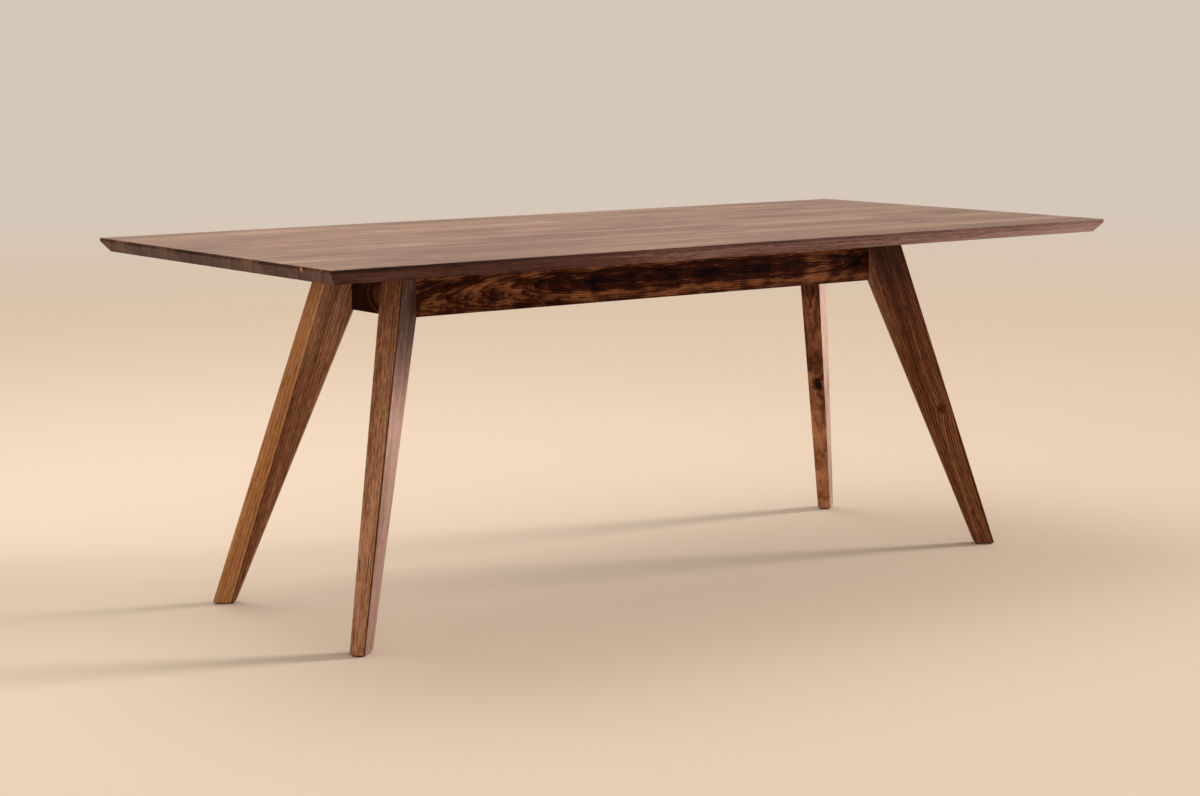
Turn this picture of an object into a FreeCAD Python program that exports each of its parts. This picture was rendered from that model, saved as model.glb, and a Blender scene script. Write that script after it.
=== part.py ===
"""Dining table: a stave-glued top with an underbevel on four splayed, tapered legs.

The legs are bolted to the cut-off corners of a narrow apron frame that runs under the
middle of the top. Millimetres. X runs along the table, Y across it, Z up, and the origin
is on the floor under the middle of the top. Front is -Y and left is -X.
"""
import FreeCAD, Part
import math
import os

Vector = FreeCAD.Vector

# Whole table and its top
table_height = 750.0
top_length = 2000.0
top_width = 915.0
top_thickness = 28.0
edge_band_height = 7.0
underbevel_inset = 16.0
top_arris = 0.8
stave_width_shares = (0.093, 0.085, 0.101, 0.081, 0.096, 0.077, 0.108, 0.092, 0.062, 0.065, 0.066, 0.074)

# Apron frame: two long aprons, two end aprons between them, two housed cross rails
end_overhang = 367.0
base_width = 232.0
apron_height = 112.0
apron_thickness = 22.0
apron_arris = 1.2
rail_height = 80.0
rail_thickness = 22.0
rail_housing_depth = 6.0
rail_place_share = 0.24
glue_clearance = 0.1

# Corner blocks, glued and screwed into the frame's corners behind the legs
block_end_reach = 66.0
block_wing = 12.0
block_screw_edge = 9.0
block_screw_wood = 14.0

# Legs: outer edge straight, inner edge upright over the apron and then tapered
leg_plan_angle = math.radians(38.0)
leg_joint_thickness = 45.0
leg_foot_thickness = 31.0
leg_top_depth = 62.0
leg_foot_depth = 45.0
leg_reach = 298.0
leg_arris = 1.2
foot_chamfer = 3.0
pad_thickness = 2.0
pad_inset = 1.0
pad_corner_cut = 2.0

# Hanger bolts that hold each leg, with their washers and nuts
bolt_radius = 4.0
bolt_in_leg = 45.0
bolt_edge_distance = 28.0
bolt_tail = 4.0
bolt_point = 1.0
washer_radius = 11.0
washer_thickness = 2.0
bolt_sides = 12
nut_sides = 6
nut_across_flats = 13.0
nut_thickness = 6.5
thread_clearance = 0.1
bolt_hole_clearance = 0.4

# Steel channels let into the underside to keep the top flat
channel_width = 30.0
channel_height = 10.0
channel_wall = 2.5
channel_end_margin = 75.0
channel_leg_gap = 44.0
channel_clearance = 0.3
channel_slot_length = 12.0
channel_slot_radius = 2.8
inner_screw_share = 0.64
outer_screw_shares = (0.36, 0.86)

# Wooden buttons that hold the top down and still let it swell and shrink
button_width = 30.0
button_length = 36.0
button_thickness = 16.0
button_tongue = 10.0
button_tongue_thickness = 8.0
button_gap = 3.0
button_slot_side_clearance = 3.0
button_slot_play = 0.6
button_slot_end_clearance = 2.0
button_place_shares = (0.16, 0.38)

# Screws: pan heads under the channels, countersunk heads in the blocks and the buttons
screw_radius = 2.25
screw_point = 5.0
screw_tip_radius = 0.5
screw_sides = 8
pan_head_radius = 4.6
pan_head_height = 2.6
flat_head_radius = 4.4
flat_head_height = 2.4
channel_screw_length = 20.0
block_screw_length = 30.0
button_screw_length = 30.0
counterbore_clearance = 0.4

overrun = 5.0

# Levels and places that follow from the sizes above
underside = table_height - top_thickness
apron_bottom = underside - apron_height
base_length = top_length - end_overhang * 2
frame_half_length = base_length / 2
frame_half_width = base_width / 2
inner_half_length = frame_half_length - apron_thickness
inner_half_width = frame_half_width - apron_thickness

outward = Vector(math.cos(leg_plan_angle), math.sin(leg_plan_angle), 0)
sideways = Vector(-math.sin(leg_plan_angle), math.cos(leg_plan_angle), 0)
upward = Vector(0, 0, 1)
corner_cut_x = leg_joint_thickness * math.sin(leg_plan_angle)
corner_cut_y = leg_joint_thickness * math.cos(leg_plan_angle)
joint_centre = Vector(frame_half_length - corner_cut_x / 2, frame_half_width - corner_cut_y / 2, 0)

quadrants = (("front_left", -1, -1), ("front_right", 1, -1), ("back_left", -1, 1), ("back_right", 1, 1))


def block(x_range, y_range, z_range):
    """Rectangular solid between the two ends of each range."""
    size = (x_range[1] - x_range[0], y_range[1] - y_range[0], z_range[1] - z_range[0])
    return Part.makeBox(*size, Vector(x_range[0], y_range[0], z_range[0]))


def prism(corners, along):
    """Solid swept from a closed outline of points."""
    return Part.Face(Part.makePolygon(corners + corners[:1])).extrude(along)


def in_quadrant(shape, x_side, y_side):
    """Copy of a shape made in the +X +Y quarter, mirrored into another quarter."""
    placed = shape.copy()
    if x_side < 0:
        placed = placed.mirror(Vector(), Vector(1, 0, 0))
    if y_side < 0:
        placed = placed.mirror(Vector(), Vector(0, 1, 0))
    return placed


def in_all_quadrants(shapes):
    return [in_quadrant(shape, x_side, y_side) for name, x_side, y_side in quadrants for shape in shapes]


def through_rings(rings):
    """Flat-faced solid through rings of corners; each ring's sides lie along the next one's."""
    faces = [Part.Face(Part.makePolygon(ring + ring[:1])) for ring in (rings[0], rings[-1])]
    for near_ring, far_ring in zip(rings, rings[1:]):
        for corner in range(len(near_ring)):
            before = corner - 1
            outline = [near_ring[before], near_ring[corner], far_ring[corner], far_ring[before]]
            faces.append(Part.Face(Part.makePolygon(outline + outline[:1])))
    shell = Part.makeShell(faces)
    shell.sewShape()
    return Part.makeSolid(shell)


def turned(start, direction, outline, sides):
    """Small round solid made of narrow flats; outline holds its (depth, radius) points."""
    first = direction.cross(outward if abs(direction.z) > 0 else upward)
    first.normalize()
    second = direction.cross(first)
    turns = [2 * math.pi * step / sides for step in range(sides)]
    spokes = [first * math.cos(turn) + second * math.sin(turn) for turn in turns]
    rings = []
    for depth, radius in outline:
        rings.append([start + direction * depth + spoke * radius for spoke in spokes])
    return through_rings(rings)


def flat_head_screw(start, direction, length, grown=0.0):
    """Countersunk screw whose head is flush at start; grown makes the hole that it sits in."""
    outline = (
        (0, flat_head_radius + grown),
        (flat_head_height, screw_radius + grown),
        (length - screw_point, screw_radius + grown),
        (length + grown, screw_tip_radius + grown),
    )
    return turned(start, direction, outline, screw_sides)


def pan_head_screw(start, direction, length):
    """Screw with a low domed head that bears on the surface at start."""
    outline = (
        (-pan_head_height, pan_head_radius / 2),
        (-pan_head_height / 2, pan_head_radius),
        (0, pan_head_radius),
        (0, screw_radius),
        (length - screw_point, screw_radius),
        (length, screw_tip_radius),
    )
    return turned(start, direction, outline, screw_sides)


def pilot_hole(start, direction, length):
    radius = screw_radius + thread_clearance
    outline = (
        (-overrun, radius),
        (length - screw_point, radius),
        (length + thread_clearance, screw_tip_radius + thread_clearance),
    )
    return turned(start, direction, outline, screw_sides)


def write_node(name, shapes):
    """One file per node; a group of like pieces is one node of separate solids."""
    whole = shapes[0] if len(shapes) == 1 else Part.makeCompound(shapes)
    whole.exportStep(os.path.join("parts", name + ".step"))


# Places of the steel channels and their screws
leg_top_corner_x = joint_centre.x + leg_top_depth * outward.x - leg_joint_thickness / 2 * sideways.x
channel_offset = leg_top_corner_x + channel_leg_gap + channel_width / 2
channel_places = (("left", -channel_offset), ("centre", 0.0), ("right", channel_offset))
channel_half_length = top_width / 2 - channel_end_margin
outer_reach = channel_half_length - frame_half_width
channel_screw_y = [inner_half_width * inner_screw_share]
channel_screw_y += [frame_half_width + outer_reach * share for share in outer_screw_shares]
channel_screw_places = []
for name, x in channel_places:
    for y in channel_screw_y:
        channel_screw_places += [Vector(x, -y, underside), Vector(x, y, underside)]


def steel_channel(x):
    """U-shaped bar, open upwards, with slotted screw holes along its web."""
    half_width = channel_width / 2
    length_range = (-channel_half_length, channel_half_length)
    bar = block((x - half_width, x + half_width), length_range, (underside, underside + channel_height))
    inside = half_width - channel_wall
    hollow = block(
        (x - inside, x + inside),
        (-channel_half_length - overrun, channel_half_length + overrun),
        (underside + channel_wall, underside + channel_height + overrun),
    )
    bar = bar.cut(hollow)
    straight = channel_slot_length / 2 - channel_slot_radius
    for place in channel_screw_places:
        if place.x != x:
            continue
        foot = Vector(place.x, place.y, underside - overrun)
        slot = block(
            (place.x - channel_slot_radius, place.x + channel_slot_radius),
            (place.y - straight, place.y + straight),
            (underside - overrun, underside + channel_height),
        )
        for end in (-straight, straight):
            outline = ((0, channel_slot_radius), (channel_height + overrun, channel_slot_radius))
            slot = slot.fuse(turned(foot + Vector(0, end, 0), upward, outline, screw_sides))
        bar = bar.cut(slot)
    return bar


def channel_groove(x):
    """Routed recess with round ends that the channel lies in."""
    half_width = channel_width / 2 + channel_clearance
    half_length = channel_half_length + channel_clearance
    depth = channel_height + channel_clearance
    z_range = (underside - overrun, underside + depth)
    groove = block((x - half_width, x + half_width), (-half_length, half_length), z_range)
    for end in (-half_length, half_length):
        centre = Vector(x, end, underside - overrun)
        groove = groove.fuse(Part.makeCylinder(half_width, depth + overrun, centre, upward))
    return groove


# Places of the wooden buttons: where each tongue's apron is, and which way the button points
button_root = button_gap + button_length / 2
button_places = []
for share in button_place_shares:
    for x_side in (-1, 1):
        for y_side in (-1, 1):
            face = Vector(x_side * base_length * share, y_side * inner_half_width, 0)
            button_places.append((face, Vector(0, y_side, 0)))
for x_side in (-1, 1):
    button_places.append((Vector(x_side * inner_half_length, 0, 0), Vector(x_side, 0, 0)))


def beside_apron(face, towards, near, far, half_width, z_range):
    """Block beside an apron's inner face, from near to far along the way it points."""
    across = Vector(towards.y, towards.x, 0) * half_width
    corners = (face + towards * near - across, face + towards * far + across)
    x_range = sorted(corner.x for corner in corners)
    y_range = sorted(corner.y for corner in corners)
    return block(x_range, y_range, z_range)


def button(face, towards):
    """Wooden button: a block under the top, with a tongue that sits in the apron's slot."""
    half_width = button_width / 2
    low = underside - button_thickness
    heel = -button_gap - button_length
    body = beside_apron(face, towards, heel, -button_gap, half_width, (low, underside))
    tongue_range = (low, low + button_tongue_thickness)
    tongue = beside_apron(face, towards, -button_gap, button_tongue - button_gap, half_width, tongue_range)
    return body.fuse(tongue).removeSplitter()


def button_slot(face, towards):
    low = underside - button_thickness
    depth = button_tongue - button_gap + button_slot_end_clearance
    half_width = button_width / 2 + button_slot_side_clearance
    z_range = (low - button_slot_play, low + button_tongue_thickness)
    return beside_apron(face, towards, -overrun, depth, half_width, z_range)


def button_screw_start(face, towards):
    return face - towards * button_root + upward * (underside - button_thickness)


# The top
def whole_top():
    """Slab with a thin upright band at its edge and a mitred bevel below it."""
    def edge_outline(half, to_point):
        low = underside
        shoulder = table_height - edge_band_height
        return [
            to_point(-half, table_height),
            to_point(half, table_height),
            to_point(half, shoulder),
            to_point(half - underbevel_inset, low),
            to_point(underbevel_inset - half, low),
            to_point(-half, shoulder),
        ]

    half_length = top_length / 2
    half_width = top_width / 2
    across = edge_outline(half_width, lambda y, z: Vector(-half_length, y, z))
    along = edge_outline(half_length, lambda x, z: Vector(x, -half_width, z))
    slab = prism(across, Vector(top_length, 0, 0)).common(prism(along, Vector(0, top_width, 0)))
    upper_edges = [edge for edge in slab.Edges if edge.BoundBox.ZMin > table_height - edge_band_height / 2]
    return slab.makeChamfer(top_arris, upper_edges)


def top_staves():
    """The slab's boards, glued edge to edge, with the grooves and holes in their underside."""
    slab = whole_top()
    cutters = [channel_groove(x) for name, x in channel_places]
    cutters += [pilot_hole(place, upward, channel_screw_length) for place in channel_screw_places]
    for face, towards in button_places:
        cutters.append(pilot_hole(button_screw_start(face, towards), upward, button_screw_length))
    staves = []
    x_range = (-top_length / 2 - overrun, top_length / 2 + overrun)
    z_range = (underside - overrun, table_height + overrun)
    near = -top_width / 2
    for share in stave_width_shares:
        far = near + top_width * share / sum(stave_width_shares)
        stave = slab.common(block(x_range, (near, far), z_range))
        for cutter in cutters:
            if cutter.BoundBox.YMin < far and cutter.BoundBox.YMax > near:
                stave = stave.cut(cutter)
        staves.append(stave)
        near = far
    return staves


# Hanger bolts: where they lie, and how much frame they pass through
block_long_reach = block_wing + (block_end_reach - block_wing) * math.tan(leg_plan_angle)
block_wing_corner = Vector(inner_half_length - block_wing, inner_half_width - block_end_reach, 0)
bolt_through = (joint_centre - block_wing_corner).dot(outward)
bolt_levels = (apron_bottom + bolt_edge_distance, underside - bolt_edge_distance)
bolt_behind = bolt_through + washer_thickness + nut_thickness + bolt_tail


def along_bolt(distance, level):
    """Point on a hanger bolt's axis: distance is from the leg's joint face, outwards."""
    return joint_centre + outward * distance + upward * level


def hanger_bolt(level):
    outline = (
        (-bolt_behind, bolt_radius - bolt_point),
        (bolt_point - bolt_behind, bolt_radius),
        (bolt_in_leg - bolt_radius, bolt_radius),
        (bolt_in_leg, bolt_point),
    )
    return turned(along_bolt(0, level), outward, outline, bolt_sides)


def bolt_hole(level, clearance, depth_in_leg):
    radius = bolt_radius + clearance
    outline = ((-bolt_behind, radius), (depth_in_leg, radius))
    return turned(along_bolt(0, level), outward, outline, bolt_sides)


def bolt_washer(level):
    outline = ((-bolt_through - washer_thickness, washer_radius), (-bolt_through, washer_radius))
    disc = turned(along_bolt(0, level), outward, outline, bolt_sides)
    return disc.cut(bolt_hole(level, bolt_hole_clearance, 0))


def bolt_nut(level):
    corner_radius = nut_across_flats / 2 / math.cos(math.pi / nut_sides)
    seat = -bolt_through - washer_thickness
    outline = ((seat - nut_thickness, corner_radius), (seat, corner_radius))
    nut = turned(along_bolt(0, level), outward, outline, nut_sides)
    return nut.cut(bolt_hole(level, thread_clearance, 0))


# Apron frame
def frame_outline():
    """Plan of the frame as one prism, with its four corners cut off square to the legs."""
    quarter = [
        Vector(frame_half_length, frame_half_width - corner_cut_y, apron_bottom),
        Vector(frame_half_length - corner_cut_x, frame_half_width, apron_bottom),
    ]
    corners = list(quarter)
    corners += [Vector(-point.x, point.y, point.z) for point in reversed(quarter)]
    corners += [Vector(-point.x, -point.y, point.z) for point in quarter]
    corners += [Vector(point.x, -point.y, point.z) for point in reversed(quarter)]
    return prism(corners, upward * apron_height)


def ease_lower_edges(apron, along_x):
    """Takes off the two long lower arrises of an apron."""
    edges = []
    for edge in apron.Edges:
        box = edge.BoundBox
        span, other = (box.XLength, box.YLength) if along_x else (box.YLength, box.XLength)
        if box.ZMax < apron_bottom + apron_arris and span > apron_thickness * 2 and other < apron_thickness:
            edges.append(edge)
    return apron.makeChamfer(apron_arris, edges)


def rail_offsets():
    return (("left", -base_length * rail_place_share), ("right", base_length * rail_place_share))


def rail_body(x, reach, clearance):
    half = rail_thickness / 2 + clearance
    return block((x - half, x + half), (-reach, reach), (underside - rail_height - clearance, underside))


def cross_rail(x):
    return rail_body(x, inner_half_width + rail_housing_depth - glue_clearance, 0)


def block_screw_axes():
    """Start and direction of a corner block's two screws, one into each apron."""
    level = (apron_bottom + underside) / 2
    long_x = inner_half_length - block_long_reach + block_screw_edge
    end_y = inner_half_width - block_end_reach + block_screw_edge
    return (
        (Vector(long_x, inner_half_width - block_screw_wood, level), Vector(0, 1, 0)),
        (Vector(inner_half_length - block_screw_wood, end_y, level), Vector(1, 0, 0)),
    )


def block_screw_hole(start, direction):
    """Screw's own shape, with a counterbore that reaches back out of the block."""
    radius = flat_head_radius + counterbore_clearance
    counterbore = turned(start, direction, ((-block_end_reach, radius), (0, radius)), screw_sides)
    return flat_head_screw(start, direction, block_screw_length, thread_clearance).fuse(counterbore)


def corner_block():
    """Glue block behind a leg, its inner face square to the hanger bolts."""
    corner = Vector(inner_half_length, inner_half_width, apron_bottom)
    corners = [
        corner,
        corner + Vector(-block_long_reach, 0, 0),
        corner + Vector(-block_long_reach, -block_wing, 0),
        corner + Vector(-block_wing, -block_end_reach, 0),
        corner + Vector(0, -block_end_reach, 0),
    ]
    body = prism(corners, upward * apron_height)
    for level in bolt_levels:
        body = body.cut(bolt_hole(level, bolt_hole_clearance, 0))
    for start, direction in block_screw_axes():
        body = body.cut(block_screw_hole(start, direction))
    return body


def aprons():
    """The four aprons by name, with housings, button slots and bolt and screw holes."""
    outline = frame_outline()
    z_range = (apron_bottom - overrun, underside + overrun)
    full_length = (-frame_half_length - overrun, frame_half_length + overrun)
    between = (-inner_half_width, inner_half_width)
    front = outline.common(block(full_length, (-frame_half_width, -inner_half_width), z_range))
    back = outline.common(block(full_length, (inner_half_width, frame_half_width), z_range))
    left = outline.common(block((-frame_half_length, -inner_half_length), between, z_range))
    right = outline.common(block((inner_half_length, frame_half_length), between, z_range))
    pieces = {
        "long_apron_front": ease_lower_edges(front, True),
        "long_apron_back": ease_lower_edges(back, True),
        "end_apron_left": ease_lower_edges(left, False),
        "end_apron_right": ease_lower_edges(right, False),
    }
    bores = [bolt_hole(level, bolt_hole_clearance, overrun) for level in bolt_levels]
    bores += [block_screw_hole(start, direction) for start, direction in block_screw_axes()]
    cutters = in_all_quadrants(bores)
    housing_reach = inner_half_width + rail_housing_depth
    cutters += [rail_body(x, housing_reach, glue_clearance) for name, x in rail_offsets()]
    cutters += [button_slot(face, towards) for face, towards in button_places]
    for name, piece in pieces.items():
        for cutter in cutters:
            if piece.BoundBox.intersect(cutter.BoundBox):
                piece = piece.cut(cutter)
        pieces[name] = piece
    return pieces


# Legs and their pads
def leg_section(level, near, far, half):
    """Level section of the leg: a rectangle from near to far, with its corners taken off."""
    ease = leg_arris
    corners = (
        (near + ease, -half),
        (far - ease, -half),
        (far, ease - half),
        (far, half - ease),
        (far - ease, half),
        (near + ease, half),
        (near, half - ease),
        (near, ease - half),
    )
    return [along_bolt(reach, level) + sideways * across for reach, across in corners]


def leg():
    """One leg: straight outside, upright inside over the apron, and tapered both ways below."""
    half = leg_joint_thickness / 2
    foot_half = leg_foot_thickness / 2
    foot_near = leg_reach - leg_foot_depth
    cut = foot_chamfer
    fall_share = apron_height / (underside - pad_thickness)
    apron_far = leg_top_depth + (leg_reach - leg_top_depth) * fall_share
    sections = [
        leg_section(underside, 0, leg_top_depth, half),
        leg_section(apron_bottom, 0, apron_far, half),
        leg_section(pad_thickness + cut, foot_near, leg_reach, foot_half),
        leg_section(pad_thickness, foot_near + cut, leg_reach - cut, foot_half - cut),
    ]
    body = through_rings(sections)
    for level in bolt_levels:
        body = body.cut(bolt_hole(level, thread_clearance, bolt_in_leg + thread_clearance))
    return body


def foot_pad():
    """Thin pad stuck under the foot, just inside its chamfer."""
    margin = foot_chamfer + pad_inset
    half = leg_foot_thickness / 2 - margin
    near = leg_reach - leg_foot_depth + margin
    far = leg_reach - margin
    outline = ((near, -half), (far, -half), (far, half), (near, half))
    corners = [along_bolt(reach, 0) + sideways * across for reach, across in outline]
    pad = prism(corners, upward * pad_thickness)
    upright = [edge for edge in pad.Edges if edge.BoundBox.ZLength > pad_thickness / 2]
    return pad.makeChamfer(pad_corner_cut, upright)


os.makedirs("parts", exist_ok=True)

for number, stave in enumerate(top_staves(), start=1):
    write_node("top_stave_%02d" % number, [stave])

for name, x in channel_places:
    write_node("stiffener_" + name, [steel_channel(x)])
channel_screws = [pan_head_screw(place, upward, channel_screw_length) for place in channel_screw_places]
write_node("stiffener_screws", channel_screws)

for name, apron in aprons().items():
    write_node(name, [apron])
for name, x in rail_offsets():
    write_node("cross_rail_" + name, [cross_rail(x)])

table_leg = leg()
leg_pad = foot_pad()
frame_block = corner_block()
for name, x_side, y_side in quadrants:
    write_node("leg_" + name, [in_quadrant(table_leg, x_side, y_side)])
    write_node("foot_pad_" + name, [in_quadrant(leg_pad, x_side, y_side)])
    write_node("corner_block_" + name, [in_quadrant(frame_block, x_side, y_side)])

block_screws = []
for start, direction in block_screw_axes():
    block_screws.append(flat_head_screw(start, direction, block_screw_length))
write_node("corner_block_screws", in_all_quadrants(block_screws))
write_node("hanger_bolts", in_all_quadrants([hanger_bolt(level) for level in bolt_levels]))
write_node("bolt_washers", in_all_quadrants([bolt_washer(level) for level in bolt_levels]))
write_node("bolt_nuts", in_all_quadrants([bolt_nut(level) for level in bolt_levels]))

buttons = []
button_screws = []
for face, towards in button_places:
    screw_start = button_screw_start(face, towards)
    hole = flat_head_screw(screw_start, upward, button_screw_length, thread_clearance)
    buttons.append(button(face, towards).cut(hole))
    button_screws.append(flat_head_screw(screw_start, upward, button_screw_length))
write_node("top_buttons", buttons)
write_node("button_screws", button_screws)
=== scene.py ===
"""The looks of a walnut dining table, piece by piece, around its packed construction.

Metres. X runs along the table, Y across it, Z up; the floor is at zero under the middle
of the top. Front is -Y and left is -X.
"""
import bmesh
import bpy
import math
from mathutils import Matrix, Vector


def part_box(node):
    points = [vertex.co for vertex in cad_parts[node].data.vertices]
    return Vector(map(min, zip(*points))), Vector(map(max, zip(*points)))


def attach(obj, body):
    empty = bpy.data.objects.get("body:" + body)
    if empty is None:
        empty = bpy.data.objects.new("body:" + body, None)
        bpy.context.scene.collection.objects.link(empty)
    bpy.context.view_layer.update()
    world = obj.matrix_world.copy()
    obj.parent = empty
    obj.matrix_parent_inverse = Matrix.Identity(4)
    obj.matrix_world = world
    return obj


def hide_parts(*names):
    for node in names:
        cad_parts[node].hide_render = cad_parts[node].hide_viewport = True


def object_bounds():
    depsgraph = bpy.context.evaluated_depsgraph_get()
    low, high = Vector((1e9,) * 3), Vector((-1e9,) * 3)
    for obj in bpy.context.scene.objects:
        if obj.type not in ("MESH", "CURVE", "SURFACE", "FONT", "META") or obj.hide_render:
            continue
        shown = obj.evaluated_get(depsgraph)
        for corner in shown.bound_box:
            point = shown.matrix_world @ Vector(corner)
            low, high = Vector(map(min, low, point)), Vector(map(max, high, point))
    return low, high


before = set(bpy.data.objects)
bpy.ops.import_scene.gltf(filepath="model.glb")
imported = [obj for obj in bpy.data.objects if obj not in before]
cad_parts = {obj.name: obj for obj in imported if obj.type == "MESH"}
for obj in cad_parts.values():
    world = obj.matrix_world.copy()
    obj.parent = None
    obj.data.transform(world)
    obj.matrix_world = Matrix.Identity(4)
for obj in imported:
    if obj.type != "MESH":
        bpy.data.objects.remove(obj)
cad_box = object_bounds()


# Top boards
# Twelve solid walnut boards, glued edge to edge and planed as one slab, with an upright
# band and a wide bevel run round under its edge. Hard wax oil leaves it satin.
def display(red, green, blue):
    """Colour as a screen shows it, 0 to 255 a channel, turned into the light it stands for."""
    def to_light(value):
        value /= 255
        return value / 12.92 if value <= 0.04045 else ((value + 0.055) / 1.055) ** 2.4
    return (to_light(red), to_light(green), to_light(blue), 1.0)


def tones(dark, middle, light):
    """Colours of a wood, from its darkest streaks to its palest, as a screen shows them."""
    return tuple(zip((0.0, 0.5, 1.0), (display(*dark), display(*middle), display(*light))))


class Amount:
    """A value inside a node tree: a sum written with it adds the tree's own math nodes."""

    def __init__(self, maker, socket):
        self.maker = maker
        self.socket = socket

    def __add__(self, other):
        return self.maker.math("ADD", self, other)

    def __radd__(self, other):
        return self.maker.math("ADD", other, self)

    def __sub__(self, other):
        return self.maker.math("SUBTRACT", self, other)

    def __rsub__(self, other):
        return self.maker.math("SUBTRACT", other, self)

    def __mul__(self, other):
        return self.maker.math("MULTIPLY", self, other)

    def __rmul__(self, other):
        return self.maker.math("MULTIPLY", other, self)

    def __truediv__(self, other):
        return self.maker.math("DIVIDE", self, other)


class Maker:
    """Adds nodes to a tree, fed in order from plain values or from earlier amounts."""

    prefix = "ShaderNode"

    def add(self, kind, *feeds, out=0, **settings):
        """New node with its settings and feeds, as the amount at one of its outputs."""
        known = kind.startswith(("ShaderNode", "FunctionNode"))
        node = self.tree.nodes.new(kind if known else self.prefix + kind)
        for key, value in settings.items():
            setattr(node, key, value)
        sockets = [socket for socket in node.inputs if socket.enabled]
        for socket, feed in zip(sockets, feeds):
            self.join(feed, socket)
        return Amount(self, node.outputs[out])

    def join(self, feed, socket):
        if isinstance(feed, Amount):
            self.tree.links.new(feed.socket, socket)
        elif feed is not None:
            socket.default_value = feed

    def math(self, operation, *feeds):
        return self.add("ShaderNodeMath", *feeds, operation=operation)

    def vector(self, operation, *feeds):
        return self.add("ShaderNodeVectorMath", *feeds, operation=operation)

    def combine(self, x, y, z):
        return self.add("ShaderNodeCombineXYZ", x, y, z)

    def split(self, place):
        node = self.add("ShaderNodeSeparateXYZ", place).socket.node
        return [Amount(self, socket) for socket in node.outputs]

    def span(self, value, low, high, to_low=0.0, to_high=1.0, smooth=False):
        """Value taken from one range to another and held inside it."""
        kind = "SMOOTHSTEP" if smooth else "LINEAR"
        return self.add("ShaderNodeMapRange", value, low, high, to_low, to_high, interpolation_type=kind)


class Finish(Maker):
    """A material under construction, on the piece's own coordinates."""

    def __init__(self, name):
        self.material = bpy.data.materials.new(name)
        self.material.use_nodes = True
        self.tree = self.material.node_tree
        self.shader = self.tree.nodes["Principled BSDF"]
        self.place = self.add("TexCoord", out="Object")

    def gives(self, name, value):
        self.join(value, self.shader.inputs[name])

    def noise(self, place, scale, detail, rough=0.5, grain=1.0):
        """Noise from 0 to 1; grain below 1 draws it out along the wood."""
        if grain != 1.0:
            place = self.vector("MULTIPLY", place, (grain, 1.0, 1.0))
        return self.add("TexNoise", place, scale, detail, rough)

    def ramp(self, value, stops):
        """Colour for a value, from stops that each hold a place and a colour."""
        node = self.add("ValToRGB", value).socket.node
        elements = node.color_ramp.elements
        while len(elements) < len(stops):
            elements.new(0.5)
        for element, (place, colour) in zip(elements, stops):
            element.position = place
            element.color = colour
        return Amount(self, node.outputs[0])

    def mix(self, share, first, second):
        """Colour mixed from two; the node's colour sockets follow those for numbers and vectors."""
        node = self.add("Mix", data_type="RGBA").socket.node
        first_colour, second_colour, mixed = node.inputs[6], node.inputs[7], node.outputs[2]
        self.join(share, node.inputs[0])
        self.join(first, first_colour)
        self.join(second, second_colour)
        return Amount(self, mixed)

    def bump(self, height, strength, distance):
        node = self.add("Bump").socket.node
        node.inputs["Strength"].default_value = strength
        node.inputs["Distance"].default_value = distance
        self.join(height, node.inputs["Height"])
        self.gives("Normal", Amount(self, node.outputs[0]))


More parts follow.
